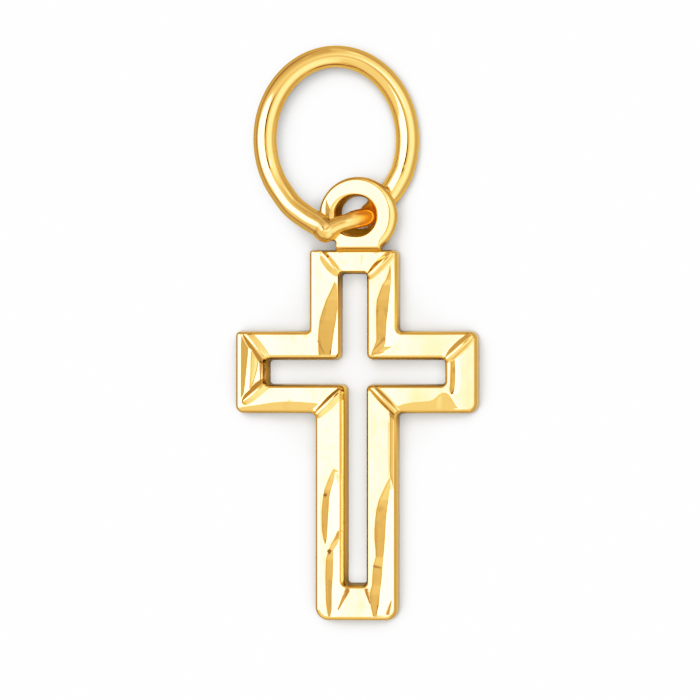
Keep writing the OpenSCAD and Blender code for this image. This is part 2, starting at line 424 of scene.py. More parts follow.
# %% [markdown]
# Gold that mirrors gold takes the colour twice, which turns it orange too fast in a picture, so
# mirror rays meet a duller gold. Two shares kept at the points of each mesh change the gold from
# place to place. The first makes it darker and rougher: a faint cloudiness of the polish, a duller
# stretch of the wire, and painted shade in pits and creases, on walls by the side they face, and
# in the eyelet's hole and on its rim. The second, glow, is painted light: the deep orange of gold
# lit by gold inside the eyelet's hole, and it also gives a faint light, for the bounces that a
# render doesn't follow.

# %% Gold material
gold_colour = (1.0, 0.51, 0.125)
edge_tint = (0.95, 0.74, 0.28)
gold_in_gold = (0.58, 0.5, 0.28)
gold_on_paper = (0.08, 0.06, 0.04)
# dark gold for tarnish and painted shade, and its blur
tarnish_colour, TARNISH_AND_SHADE_BLUR = (0.12, 0.05, 0.002), 0.4
# painted orange light of gold lit by gold, and the faint light it gives
glow_colour = (1.0, 0.25, 0.012)
glow_light, GLOW_STRENGTH = (1.0, 0.33, 0.03), 0.035


def gold_material(name, blur, wave_size, wave_depth):
    """Polished gold with its own blur, and with waves of this size and depth in millimetres."""
    made = bpy.data.materials.new(name)
    made.use_nodes = True
    tree = made.node_tree
    shader = tree.nodes["Principled BSDF"]
    path = add_node(tree, "ShaderNodeLightPath").outputs
    # shares of tarnish with painted shade, and of painted glow, kept at the points
    tarnish = add_node(tree, "ShaderNodeAttribute", attribute_name="tarnish").outputs["Fac"]
    glow = add_node(tree, "ShaderNodeAttribute", attribute_name="glow").outputs["Fac"]
    colour = gold_colour
    for share, other in [
        (glow, glow_colour), (tarnish, tarnish_colour),
        (path["Is Glossy Ray"], gold_in_gold), (path["Is Diffuse Ray"], gold_on_paper),
    ]:
        colour = mix_colours(tree, share, colour, other)
    polish = add_node(
        tree, "ShaderNodeGroup", {"Size": wave_size * MM, "Depth": wave_depth * MM}, node_tree=waves_group
    )
    varying = {
        "Base Color": colour,
        "Roughness": mix_values(tree, tarnish, blur, TARNISH_AND_SHADE_BLUR),
        "Emission Color": mix_colours(tree, glow, (0, 0, 0), glow_light),
        "Normal": polish.outputs["Normal"],
    }
    for socket, value in varying.items():
        tree.links.new(value, shader.inputs[socket])
    shader.inputs["Metallic"].default_value = 1
    shader.inputs["Specular Tint"].default_value = (*edge_tint, 1)
    shader.inputs["Emission Strength"].default_value = GLOW_STRENGTH
    return made


cut_gold = gold_material("gold_cut", 0.07, 0.8, 0.002)
wire_gold = gold_material("gold_wire", 0.09, 0.6, 0.003)
print("materials:", cut_gold.name, wire_gold.name)

# %% [markdown]
# ## Mesh helpers
#
# Each piece is a set of closed loops with the same number of points, joined by strips of faces.
# That gives a closed mesh with every point worked out, which a block with cuts in it wouldn't. Points
# are in millimetres from the foot of the cross, and `make_piece` puts the pendant's middle at the
# origin.

# %% Mesh helpers
mid_y = -cross_low.y / MM


def between(start, end, share):
    """start where share is 0, end where it is 1."""
    return start * (1 - share) + end * share


def strips(loops):
    """Points and faces of closed loops, joined one to the next and the last to the first."""
    count, length = len(loops), len(loops[0])
    faces = []
    for row in range(count):
        below, above = row * length, ((row + 1) % count) * length
        for i in range(length):
            j = (i + 1) % length
            faces.append((below + i, below + j, above + j, above + i))
    return np.concatenate(loops), faces


def make_piece(name, points, faces, material, **shares):
    """A smooth piece in place, riding on the one body, with tarnish, painted shade and glow at each point.
    """
    mesh = bpy.data.meshes.new(name)
    placed = points - (0, mid_y, 0)
    mesh.from_pydata([tuple(p * MM) for p in placed], [], faces)
    mesh.polygons.foreach_set("use_smooth", [True] * len(mesh.polygons))
    mesh.materials.append(material)
    for key, value in shares.items():
        attribute = mesh.attributes.new(key, "FLOAT", "POINT")
        attribute.data.foreach_set("value", value.ravel().astype(np.float32))
    made = bpy.data.objects.new(name, mesh)
    scene.collection.objects.link(made)
    work = bmesh.new()
    work.from_mesh(mesh)
    bmesh.ops.recalc_face_normals(work, faces=work.faces)
    work.to_mesh(mesh)
    work.free()
    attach(made, "root")
    print(name, "has", sum(len(p.vertices) - 2 for p in mesh.polygons), "triangles")
    return made


print("middle of the pendant over the foot of the cross in mm:", round(mid_y, 2))

# %% [markdown]
# ## Outline of the cross
#
# The outline has twelve edges, taken clockwise from the top, and so has the opening inside it. A
# casting isn't quite even, so each edge leans in from the back to the front by its own amount, and
# the corners are worked out from the edges.

# %% Outline tables
half_width = cross_high.x / MM
# place of the edge at the back, then how far the face's edge lies in from it
OUTER_EDGES = [
    (10.95, 0.09), (1.255, 0.10), (8.565, 0.13), (half_width, 0.105), (6.115, 0.13), (1.235, 0.10),
    (0.0, 0.145), (-1.235, 0.18), (6.115, 0.13), (-half_width, 0.20), (8.565, 0.13), (-1.415, 0.20),
]
INNER_EDGES = [
    (10.24, 0.08), (0.295, 0.133), (7.69, 0.14), (2.6, 0.13), (6.99, 0.12), (0.275, 0.155),
    (1.1, 0.12), (-0.275, 0.19), (6.99, 0.12), (-2.6, 0.15), (7.69, 0.148), (-0.455, 0.06),
]
DIRECTIONS = [
    (1, 0), (0, -1), (1, 0), (0, -1), (-1, 0), (0, -1), (-1, 0), (0, 1), (-1, 0), (0, 1), (1, 0), (0, 1),
]
# radius of the corner before each edge, at the back
OUTER_RADII = [0.13, 0.17, 0.1, 0.25, 0.3, 0.12, 0.36, 0.42, 0.14, 0.25, 0.16, 0.09]
INNER_RADII = [0.09, 0.09, 0.19, 0.09, 0.09, 0.19, 0.09, 0.09, 0.19, 0.09, 0.09, 0.19]
EDGES = len(DIRECTIONS)
print("edges of the outline:", EDGES, "half width in mm:", round(half_width, 2))

# %% [markdown]
# A loop of points runs once round the outline or the opening. The points lie a little closer
# together near the corners, where the ridges end.

# %% Loops round the cross
ARC_STEPS = 10
STEP, FEWEST_STEPS = 0.027, 8
SMALLEST_RADIUS = 0.02
CROWDING = 0.2


def corner_turn(k):
    """1 where the clockwise loop turns right, -1 where it turns left."""
    a, b = DIRECTIONS[k - 1], DIRECTIONS[k]
    return -1 if a[0] * b[1] - a[1] * b[0] > 0 else 1


def corner_radius(edges, radii, sign, share, k):
    """Radius of a corner, which the lean makes smaller where it bulges, else larger."""
    lean = (edges[k - 1][1] + edges[k][1]) / 2 * share
    return max(SMALLEST_RADIUS, radii[k] - lean) if corner_turn(k) == sign else radii[k] + lean


def corner_points(edges, sign, share):
    """The sharp corners, with each edge moved into the metal by this share of its lean."""
    values = [
        place + sign * (ay - ax) * lean * share for (place, lean), (ax, ay) in zip(edges, DIRECTIONS)
    ]
    pairs = [(values[k - 1], values[k]) if k % 2 == 0 else (values[k], values[k - 1]) for k in range(EDGES)]
    return [np.array(pair) for pair in pairs]


base_corners = corner_points(OUTER_EDGES, 1, 0)
COUNTS = [
    max(FEWEST_STEPS, round(float(np.linalg.norm(base_corners[(k + 1) % EDGES] - base_corners[k])) / STEP))
    for k in range(EDGES)
]


def loop_at(edges, radii, sign, share):
    """One closed loop of (x, y) points, with rounded corners. sign is 1 for the outline."""
    points = corner_points(edges, sign, share)
    made = []
    for k in range(EDGES):
        before, after = np.array(DIRECTIONS[k - 1], float), np.array(DIRECTIONS[k], float)
        r = corner_radius(edges, radii, sign, share, k)
        centre = points[k] - before * r + after * r
        for s in np.linspace(0, math.pi / 2, ARC_STEPS):
            made.append(centre - after * r * math.cos(s) + before * r * math.sin(s))
        following = (k + 1) % EDGES
        next_r = corner_radius(edges, radii, sign, share, following)
        start, end = points[k] + after * r, points[following] - after * next_r
        for i in range(1, COUNTS[k]):
            t = i / COUNTS[k]
            t = t - CROWDING * math.sin(2 * math.pi * t) / (2 * math.pi)
            made.append(start + (end - start) * t)
    return np.array(made)


print("points in each loop:", len(loop_at(OUTER_EDGES, OUTER_RADII, 1, 0)))

# %% [markdown]
# ## Cut faces
#
# The diamond tool leaves each face a little below the narrow ridges at the mitres. Their ends, their
# crests and the slopes of their flanks differ from corner to corner, so they stand in a table.

# %% Table of ridges
# x, y at the outer end, x, y at the inner end, height of the crest, then the slopes of the flanks on
# the left and the right of the way in, in degrees
RIDGES = {
    "top_left": (-1.0, 10.86, -0.47, 10.22, 0.085, 44, 27),
    "top_right": (1.07, 10.83, 0.38, 10.13, 0.1, 42, 36),
    "right_top": (3.43, 8.4, 2.68, 7.7, 0.11, 42, 34),
    "left_top": (-3.27, 8.5, -2.62, 7.7, 0.09, 32, 38),
    "left_bottom": (-3.3, 6.45, -2.62, 7.03, 0.1, 36, 38),
    "inner_left_bottom": (-1.13, 6.1, -0.4, 6.83, 0.1, 40, 36),
    "inner_right_bottom": (1.25, 6.1, 0.43, 6.95, 0.11, 46, 46),
}
print("ridges:", len(RIDGES))

# %% [markdown]
# A graver then takes long shallow cuts out of the bars. Each has a sharp line where it starts, falls
# a few degrees to its deepest line, and rises again or runs out over the bar's edge. A boolean cut
# would leave hard ends, so each cut is a depth worked out for each point. First come the cuts that
# run up and down.

# %% Cuts along the upright bars
# degrees of the fall and share of the depth that it rises again, then rows of y and the x where the
# cut starts, where it is deepest and where it ends
UPRIGHT_CUTS = {
    "upper_left": (9.5, 0.25, [
        (9.99, -0.622, -0.593, -0.475), (9.75, -0.725, -0.534, -0.446), (9.6, -0.799, -0.505, -0.446),
        (9.46, -0.869, -0.496, -0.446), (9.31, -0.922, -0.514, -0.446), (9.16, -0.975, -0.534, -0.446),
        (8.87, -1.063, -0.564, -0.446), (8.58, -1.098, -0.622, -0.446), (8.28, -1.107, -0.666, -0.446),
        (7.99, -1.098, -0.71, -0.475), (7.81, -1.078, -0.74, -0.534), (7.66, -0.828, -0.784, -0.681),
    ]),
    "upper_right": (9.5, 0.5, [
        (10.51, 1.017, 1.032, 1.052), (10.28, 0.982, 1.052, 1.111), (10.04, 0.891, 1.052, 1.17),
        (9.9, 0.788, 1.043, 1.18), (9.75, 0.729, 1.032, 1.18), (9.46, 0.626, 0.993, 1.18),
        (9.16, 0.606, 0.964, 1.18), (8.87, 0.606, 0.923, 1.17), (8.58, 0.609, 0.905, 1.16),
        (8.28, 0.612, 0.891, 1.111), (8.11, 0.553, 0.861, 1.023), (7.93, 0.479, 0.67, 0.788),
        (7.81, 0.45, 0.494, 0.553),
    ]),
    "lower_left_upper": (9.5, 0.4, [
        (4.52, -0.637, -0.628, -0.593), (4.4, -0.705, -0.602, -0.505), (4.17, -0.813, -0.631, -0.446),
        (3.87, -0.931, -0.725, -0.45), (3.58, -0.981, -0.778, -0.45), (3.29, -1.004, -0.787, -0.45),
        (2.99, -1.004, -0.81, -0.45), (2.7, -0.995, -0.828, -0.446), (2.46, -0.96, -0.846, -0.622),
        (2.26, -0.901, -0.887, -0.799),
    ]),
    "lower_left_lower": (9.5, 0.4, [
        (2.67, -0.549, -0.45, -0.44), (2.52, -0.608, -0.45, -0.44), (2.32, -0.71, -0.505, -0.44),
        (2.11, -0.799, -0.652, -0.44), (1.82, -0.878, -0.652, -0.44), (1.38, -0.893, -0.663, -0.44),
        (0.94, -0.887, -0.693, -0.44), (0.64, -0.878, -0.702, -0.417), (0.35, -0.84, -0.71, -0.505),
        (0.14, -0.799, -0.74, -0.681),
    ]),
    "lower_right_edge": (13.0, 0.0, [
        (6.28, 1.052, 1.15, 1.228), (6.05, 1.008, 1.15, 1.228), (5.64, 1.014, 1.15, 1.228),
        (5.05, 1.017, 1.15, 1.228), (4.46, 1.008, 1.15, 1.228), (4.17, 1.038, 1.15, 1.228),
        (3.87, 1.096, 1.15, 1.228), (3.43, 1.14, 1.15, 1.228),
    ]),
    "lower_right": (9.5, 0.5, [
        (4.23, 1.002, 1.023, 1.052), (4.02, 0.891, 1.014, 1.111), (3.87, 0.817, 1.014, 1.14),
        (3.58, 0.685, 0.979, 1.15), (3.29, 0.612, 0.935, 1.15), (2.99, 0.573, 0.905, 1.15),
        (2.7, 0.553, 0.891, 1.15), (2.41, 0.553, 0.87, 1.15), (2.11, 0.582, 0.847, 1.15),
        (1.91, 0.588, 0.826, 1.15), (1.67, 0.523, 0.803, 1.15), (1.38, 0.494, 0.788, 1.14),
        (1.08, 0.482, 0.75, 1.13), (0.79, 0.421, 0.714, 1.12), (0.5, 0.435, 0.682, 1.07),
        (0.17, 0.509, 0.612, 0.905),
    ]),
    "left_end_outer": (7.5, 0.6, [
        (8.55, -3.34, -3.28, -3.237), (8.37, -3.385, -3.2, -3.13), (8.13, -3.4, -3.14, -3.08),
        (7.84, -3.402, -3.16, -3.08), (7.55, -3.405, -3.19, -3.1), (7.25, -3.408, -3.22, -3.13),
        (6.96, -3.41, -3.25, -3.16), (6.67, -3.41, -3.29, -3.22), (6.4, -3.38, -3.34, -3.31),
    ]),
    "left_end_inner": (21.0, 0.0, [
        (8.11, -3.09, -3.04, -2.914), (7.93, -3.105, -2.96, -2.75), (7.69, -3.119, -2.88, -2.6),
        (7.46, -3.119, -2.91, -2.6), (7.25, -3.119, -2.96, -2.6), (7.05, -3.134, -3.02, -2.65),
        (6.81, -3.149, -3.11, -2.972),
    ]),
    "right_end_inner": (9.0, 1.0, [
        (7.93, 2.874, 2.932, 3.021), (7.69, 2.797, 2.932, 3.05), (7.4, 2.794, 2.953, 3.079),
        (7.11, 2.785, 2.944, 3.079), (6.85, 2.774, 2.926, 3.05), (6.7, 2.8, 2.874, 2.962),
    ]),
}
print("upright graver cuts:", len(UPRIGHT_CUTS))

# %% [markdown]
# Two more cuts run along the foot side of the arms.

# %% Cuts along the arms
# the same with x and y changed over
LEVEL_CUTS = {
    "left_arm_bottom": (8.0, 0.0, [
        (-3.38, 6.343, 6.25, 6.2), (-3.09, 6.384, 6.24, 6.2), (-2.74, 6.431, 6.24, 6.2),
        (-2.5, 6.475, 6.24, 6.2), (-2.06, 6.51, 6.24, 6.2), (-1.62, 6.501, 6.24, 6.2),
        (-1.24, 6.472, 6.24, 6.2), (-0.97, 6.431, 6.24, 6.2),
    ]),
    "right_arm_bottom": (8.0, 0.0, [
        (1.14, 6.269, 6.25, 6.2), (1.32, 6.392, 6.25, 6.2), (1.49, 6.451, 6.25, 6.2),
        (1.76, 6.495, 6.25, 6.2), (2.05, 6.513, 6.25, 6.2), (2.2, 6.53, 6.25, 6.2),
        (2.33, 6.57, 6.25, 6.2), (2.42, 6.63, 6.25, 6.2), (2.5, 6.7, 6.25, 6.2), (2.58, 6.76, 6.25, 6.2),
        (2.68, 6.78, 6.25, 6.2), (2.76, 6.73, 6.25, 6.2), (2.86, 6.58, 6.25, 6.2), (2.98, 6.38, 6.27, 6.2),
        (3.08, 6.28, 6.26, 6.2),
    ]),
}
print("level graver cuts:", len(LEVEL_CUTS))

# %% [markdown]
# Pits, creases and tool marks look dark, because they mirror shade. Such marks are too fine to
# model, so their shade is painted, as short lines.

# %% Marks of painted shade
# x, y at the wide end, x, y at the narrow end, half width, strength
PAINTED_SHADE_MARKS = [
    (-0.89, 3.71, -0.89, 3.69, 0.07, 0.95), (-0.77, 2.07, -0.77, 2.0, 0.07, 0.95),
    (0.56, 1.635, 0.75, 1.59, 0.045, 0.75), (0.73, 3.31, 0.73, 3.28, 0.1, 0.35),
    (-0.53, 4.3, -0.51, 4.08, 0.05, 0.5), (0.84, 8.32, 0.55, 8.0, 0.045, 0.6),
    (-0.24, 0.92, -0.5, 0.37, 0.08, 0.9), (0.32, 0.94, 0.43, 0.55, 0.06, 0.9),
    (0.96, 0.26, 1.06, 0.62, 0.065, 0.9), (-2.8, 7.62, -2.8, 7.12, 0.05, 0.87),
    (1.05, 6.12, 1.2, 5.9, 0.07, 0.75), (-1.1, 8.26, -0.93, 7.9, 0.03, 0.6),
    (-1.03, 3.75, -1.0, 2.3, 0.03, 0.3), (-0.92, 1.9, -0.86, 0.5, 0.03, 0.25),
    (-0.45, 2.7, -0.83, 2.2, 0.04, 0.35), (0.2, 10.75, 0.17, 10.5, 0.035, 0.4),
    (-0.45, 10.87, -0.35, 10.87, 0.04, 0.5), (0.58, 10.86, 0.68, 10.85, 0.04, 0.5),
    (2.9, 7.42, 2.9, 7.32, 0.04, 0.4), (2.81, 7.1, 2.81, 7.0, 0.04, 0.4),
    (-1.97, 6.5, -1.85, 6.5, 0.04, 0.4), (-1.5, 8.4, -1.35, 8.4, 0.05, 0.3),
    (-1.15, 7.7, -1.05, 7.72, 0.05, 0.5), (-3.1, 7.9, -3.12, 7.5, 0.05, 0.3),
    (-0.9, 9.2, -0.93, 8.9, 0.05, 0.2), (0.64, 9.2, 0.64, 8.95, 0.05, 0.3),
    (0.9, 9.2, 0.9, 9.0, 0.05, 0.25), (-0.75, 1.2, -0.77, 0.4, 0.05, 0.25),
    (0.98, 5.85, 0.98, 4.3, 0.025, 0.5), (-1.03, 3.4, -0.99, 2.6, 0.04, 0.3),
    (0.62, 2.9, 0.62, 2.0, 0.05, 0.25),
]
print("marks:", len(PAINTED_SHADE_MARKS))

# %% [markdown]
# These helpers turn the tables of cuts and ridges into heights over the plain faces.

# %% Depth of a cut and height of a ridge
# the width over which a cut starts to fall, the width over which it ends, and the least width
EASE, FADE_WIDTH, LEAST_WIDTH = 0.05, 0.12, 0.005
# half the width of a ridge's crest, how far the crest runs past its ends, and how it arches
CREST_HALF, CREST_PAST, ARCH = 0.034, 0.03, 0.4


def slow_noise(points, size, seed):
    """Smooth noise from about -1 to 1 at each point."""
    return np.array([noise.noise(Vector((p[0] / size, p[1] / size, seed))) for p in points])


def cut_depth(along, across, slope, rise, rows):
    """Depth of one graver cut. It falls at slope degrees, then rises by this share of its depth."""
    places, start, deepest, end = (np.array(column) for column in zip(*sorted(rows)))
    start, deepest, end = (np.interp(along, places, edge) for edge in (start, deepest, end))
    fall = math.tan(math.radians(slope))
    way = np.clip(across - start, 0, deepest - start)
    depth = fall * np.where(way < EASE, way ** 2 / (2 * EASE), way - EASE / 2)
    back = np.clip((across - deepest) / np.maximum(end - deepest, LEAST_WIDTH), 0, 1)
    depth = depth * (1 - rise * back)
    fade = np.clip((end + FADE_WIDTH - across) / FADE_WIDTH, 0, 1)
    return np.where((along > places[0]) & (along < places[-1]), depth * fade, 0)


def beside(x, y, x0, y0, x1, y1):
    """How far along a line each point lies, from 0 to 1, how far to its side, and the line's length."""
    length = math.hypot(x1 - x0, y1 - y0)
    ux, uy = (x1 - x0) / length, (y1 - y0) / length
    along = ((x - x0) * ux + (y - y0) * uy) / length
    return along, (x - x0) * uy - (y - y0) * ux, length


def ridge_top(x, y, ridge):
    """Height of one ridge over the faces, negative away from it."""
    x0, y0, x1, y1, crest, left, right = ridge
    along, side, _ = beside(x, y, x0, y0, x1, y1)
    slope = np.where(side < 0, math.tan(math.radians(left)), math.tan(math.radians(right)))
    share = (along + CREST_PAST) / (1 + 2 * CREST_PAST)
    arch = np.clip(4 * share * (1 - share), 0, 1) ** ARCH
    top = np.where(arch > 0, crest * arch, -1.0)
    return top - slope * np.maximum(0, np.abs(side) - CREST_HALF)


def cut_surface(x, y):
    """Height over the plain faces after all the cuts, with the ridges left standing."""
    h = np.zeros(len(x))
    for slope, rise, rows in UPRIGHT_CUTS.values():
        h -= cut_depth(y, x, slope, rise, rows)
    for slope, rise, rows in LEVEL_CUTS.values():
        rows = [(at, -start, -deepest, -end) for at, start, deepest, end in rows]
        h -= cut_depth(x, -y, slope, rise, rows)
    for ridge in RIDGES.values():
        h = np.maximum(h, ridge_top(x, y, ridge))
    return h


middle_of_bar = cut_surface(np.array([-0.7]), np.array([8.6]))
print("depth of the cut in the upper left bar in mm:", round(-float(middle_of_bar[0]), 3))

# %% [markdown]
# The tool's hand shakes a little, so each face also has slow waves, and the polish is a little
# cloudy. A point's height is the mean of five spots, which softens each line. A strong mark of
# painted shade is a crisp pit or line, and a weak one a soft smear.

# %% Height, cloudiness and painted shade of the faces
FACE_Z = 1.06
SOFT = 0.012
# height, length and seed of the faces' waves
FACE_WAVES = [(0.006, 1.1, 7.3), (0.0009, 0.35, 2.1)]
# strength, length and seed of the cloudiness, and what is cut off below it
CLOUDS, CLOUD_SIZE, CLOUD_SEED, CLOUD_FLOOR = 0.22, 0.22, 4.4, 0.1
# marks stronger than this are crisp; then how steeply each kind fades, and where it is gone
CRISP_ABOVE, CRISPNESS, CRISP_END, SOFTNESS, SOFT_END = 0.7, 2.5, 1.15, 1.15, 1.4
WIDE_END, NARROWING = 1.1, 0.7


def face_height(points):
    """Height of the cut surface at each (x, y) point."""
    h = FACE_Z
    for height, size, seed in FACE_WAVES:
        h = h + height * slow_noise(points, size, seed)
    spots = [(0, 0), (SOFT, 0), (-SOFT, 0), (0, SOFT), (0, -SOFT)]
    return h + sum(cut_surface(points[:, 0] + dx, points[:, 1] + dy) for dx, dy in spots) / len(spots)


def tarnish_at(points):
    """Share of dark gold at each (x, y) point: painted shade from the marks, and a faint cloudiness."""
    x, y = points[:, 0], points[:, 1]
    made = CLOUDS * np.clip(slow_noise(points, CLOUD_SIZE, CLOUD_SEED) - CLOUD_FLOOR, 0, 1)
    for x0, y0, x1, y1, half_width, strength in PAINTED_SHADE_MARKS:
        along, side, length = beside(x, y, x0, y0, x1, y1)
        past = np.maximum(0, np.maximum(-along, along - 1)) * length
        from_line = np.hypot(side, past) / (half_width * (WIDE_END - NARROWING * np.clip(along, 0, 1)))
        crisp = strength > CRISP_ABOVE
        share = CRISPNESS * (CRISP_END - from_line) if crisp else SOFT_END - from_line / SOFTNESS
        made = np.maximum(made, strength * np.clip(share, 0, 1))
    return made


print("height in the middle of the top bar:", round(float(face_height(np.array([[0.0, 10.6]]))[0]), 3))

# %% [markdown]
# ## Cross frame
#
# The frame runs from the back edge of the outline up its wall, over the bevel and across the face,
# then down the wall of the opening and back along the underside. The bevel is deeper on the sides
# that face right, so rows of points make it: a bevel modifier would give all sides the same.

# %% Walls and bevels
# the side that each edge's wall faces
OUTER_FACING = [
    "up", "right", "up", "right", "down", "right", "down", "left", "down", "left", "up", "left",
]
INNER_FACING = [
    "down", "left", "down", "left", "up", "left", "up", "right", "up", "right", "down", "right",
]
# share of the way in from the back edge, then share of the height
WALL = [(0.0, 0.0), (0.04, 0.2), (0.13, 0.5), (0.24, 0.8), (0.31, 0.94)]
# share of the way in, then how far the bevel lies below the face
SHARES = [0.35, 0.42, 0.5, 0.6, 0.75, 0.9, 0.96]
BEVELS = {
    "left": [0.1, 0.078, 0.054, 0.034, 0.02, 0.008, 0.003],
    "right": [0.13, 0.118, 0.1, 0.08, 0.05, 0.02, 0.008],
    "up": [0.09, 0.07, 0.052, 0.036, 0.018, 0.006, 0.002],
    "down": [0.09, 0.066, 0.044, 0.028, 0.016, 0.006, 0.002],
}
# painted shade on the rows of each wall from the back up, by the side that it faces
EDGE_PAINTED_SHADE = {
    "left": [0.2, 0.2, 0.2, 0.3, 0.5, 0.8, 0.5, 0.1, 0, 0, 0, 0],
    "right": [0, 0, 0, 0, 0.05, 0.3, 0.15, 0, 0, 0, 0, 0],
    "up": [0, 0, 0, 0.05, 0.4, 0.5, 0.2, 0, 0, 0, 0, 0],
    "down": [0.3, 0.3, 0.4, 0.6, 0.8, 0.7, 0.3, 0, 0, 0, 0, 0],
}


def per_point(values):
    """The value of each edge at each point of a loop, blended round the corners."""
    made = []
    for k in range(EDGES):
        made += list(np.linspace(values[k - 1], values[k], ARC_STEPS)) + [values[k]] * (COUNTS[k] - 1)
    return np.array(made)


def lifted(loop, heights):
    return np.column_stack([loop, heights])


def wall_loops(edges, radii, sign, facing):
    """Loops from the back up to just below the face, and the loop of the face's edge."""
    edge_loop = loop_at(edges, radii, sign, 1)
    edge_h = face_height(edge_loop)
    wall_h = edge_h - per_point([BEVELS[side][0] for side in facing])
    made = [lifted(loop_at(edges, radii, sign, share), wall_h * part) for share, part in WALL]
    for row, share in enumerate(SHARES):
        below = per_point([BEVELS[side][row] for side in facing])
        made.append(lifted(loop_at(edges, radii, sign, share), edge_h - below))
    return made, edge_loop


def wall_tarnish(facing):
    """Painted shade of the wall's loops, from the back up."""
    return [per_point([EDGE_PAINTED_SHADE[side][row] for side in facing]) for row in range(len(WALL + SHARES))]


outer_wall, outer_edge = wall_loops(OUTER_EDGES, OUTER_RADII, 1, OUTER_FACING)
inner_wall, inner_edge = wall_loops(INNER_EDGES, INNER_RADII, -1, INNER_FACING)
print("loops in each wall:", len(outer_wall))

# %% [markdown]
# Walls and face are joined to one closed piece, which stands for the CAD cross with the eyelet below.

# %% Cross frame
FACE_ROWS = 40
face_loops = []
for row in range(FACE_ROWS + 1):
    loop = between(outer_edge, inner_edge, row / FACE_ROWS)
    face_loops.append(lifted(loop, face_height(loop)))
back_loop = between(inner_wall[0], outer_wall[0], 0.5)
points, faces = strips(outer_wall + face_loops + inner_wall[::-1] + [back_loop])
# painted shade of the walls and marks, and the faces' cloudiness, loop by loop
tarnish = np.concatenate(
    wall_tarnish(OUTER_FACING) + [tarnish_at(loop[:, :2]) for loop in face_loops]
    + wall_tarnish(INNER_FACING)[::-1] + [np.zeros(len(back_loop))]
)
cross_frame = make_piece("cross_frame", points, faces, cut_gold, tarnish=tarnish)
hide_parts("cross")

# %% [markdown]
# ## Eyelet
#
# The eyelet is a flat washer with a rounded outer edge, which narrows to a short neck on the top
# bar. Its hole is countersunk, most of all on the left, and its left shoulder is filed down beside
# the wire. A cylinder with a hole would be too even, so each loop of points follows a distance from
# the middle that changes with the angle.

# %% Eyelet tables
EYE_X, EYE_Y, EYE_TOP = 0.07, 11.94, 1.24
degrees = np.arange(0, 360, 1.0)
angles = np.radians(degrees)


def by_angle(table, width=13):
    """A value for each angle from a table of (degrees, value), smoothed over this many degrees."""
    places, values = zip(*table)
    value = np.interp(degrees, places, values, period=360)
    kernel = np.hanning(width) / np.hanning(width).sum()
    half = width // 2
    return np.convolve(np.concatenate([value[-half:], value, value[:half]]), kernel, "valid")


# angles in degrees, anticlockwise from the right, and distance from the middle
outline = by_angle([
    (0, 1.165), (60, 1.15), (90, 1.14), (180, 1.135), (200, 1.13), (212, 1.1), (221, 1.07), (228, 1.02),
    (233, 1.04), (237, 1.16), (241, 1.3), (301, 1.3), (305, 1.22), (309, 1.165), (335, 1.165),
], 5)
rim_width = by_angle([
    (0, 0.23), (45, 0.15), (90, 0.1), (180, 0.085), (215, 0.07), (235, 0.06), (300, 0.1), (315, 0.2),
])
# where the countersink starts, and the hole at its front and its back
sink = by_angle([
    (0, 0.63), (90, 0.635), (120, 0.7), (147, 0.777), (167, 0.823), (190, 0.82), (228, 0.72),
    (259, 0.645), (300, 0.635),
])
HOLE_RADIUS, HOLE_SHIFT, SHIFT_WAY = 0.6, 0.045, math.radians(20)
hole_front = HOLE_RADIUS - HOLE_SHIFT * np.cos(angles - SHIFT_WAY)
hole_back = by_angle([
    (0, 0.555), (60, 0.57), (90, 0.575), (120, 0.56), (145, 0.53), (166, 0.5), (200, 0.47), (230, 0.42),
    (265, 0.37), (300, 0.41), (330, 0.5),
])
print("the eyelet's hole in mm:", round(2 * float(hole_front.mean()), 2))

# %% [markdown]
# The loops start on the underside, go round the rim to the flat front, down the countersink and
# down the hole's wall.

# %% Shape of the eyelet
# share of the rim's width, height below the front, y where the neck ends
RIM = [
    (0.5, 0.5, 10.86), (0.15, 0.47, 10.86), (0.0, 0.38, 10.86), (0.0, 0.3, 10.87), (0.02, 0.2, 10.89),
    (0.1, 0.13, 10.92), (0.25, 0.08, 10.945), (0.45, 0.045, 10.965), (0.65, 0.022, 10.985),
    (0.85, 0.007, 11.005), (1.0, 0.0, 11.025),
]
FLAT_ROWS = 19
# share of the way in, height below the front
COUNTERSINK = [(0, 0.0), (0.25, 0.008), (0.5, 0.022), (0.75, 0.045), (0.9, 0.07), (1.0, 0.1)]
HOLE = [(0.15, 0.15), (0.4, 0.25), (0.7, 0.35), (1.0, 0.44), (0.98, 0.48), (0.8, 0.5)]
# a cut like those in the bars, on what lies less than this below the front
SHOULDER = (6.0, 1.0, [
    (12.42, -0.86, -0.84, -0.8), (12.3, -0.875, -0.79, -0.74), (12.15, -0.885, -0.72, -0.66),
    (12.0, -0.885, -0.68, -0.6), (11.85, -0.88, -0.68, -0.6),
])
SHOULDER_REACH = 0.03
# the neck is only where the angle points down by this share
NECK_SHARE, FAR = 0.2, 9.0


def to_lip(radius, lip):
    """The distance cut short where the neck ends flat at y = lip."""
    down = -np.sin(angles)
    neck = (EYE_Y - lip) / np.maximum(down, NECK_SHARE)
    return np.minimum(radius, np.where(down > NECK_SHARE, neck, FAR))


eye_rows = [(to_lip(outline - rim_width * share, lip), drop) for share, drop, lip in RIM]
flat_edge = eye_rows[-1][0]
eye_rows += [(between(flat_edge, sink, t), 0.0) for t in np.linspace(0.05, 0.95, FLAT_ROWS)]
eye_rows += [(between(sink, hole_front, t), drop) for t, drop in COUNTERSINK]
eye_rows += [(between(hole_front, hole_back, t), drop) for t, drop in HOLE]
loops = []
for r, drop in eye_rows:
    x, y = EYE_X + r * np.cos(angles), EYE_Y + r * np.sin(angles)
    loops.append(np.column_stack([x, y, np.full(len(angles), EYE_TOP - drop)]))
points, faces = strips(loops)
on_front = points[:, 2] > EYE_TOP - SHOULDER_REACH
points[:, 2] -= on_front * cut_depth(points[:, 1], points[:, 0], *SHOULDER)
print("loops in the eyelet:", len(eye_rows))
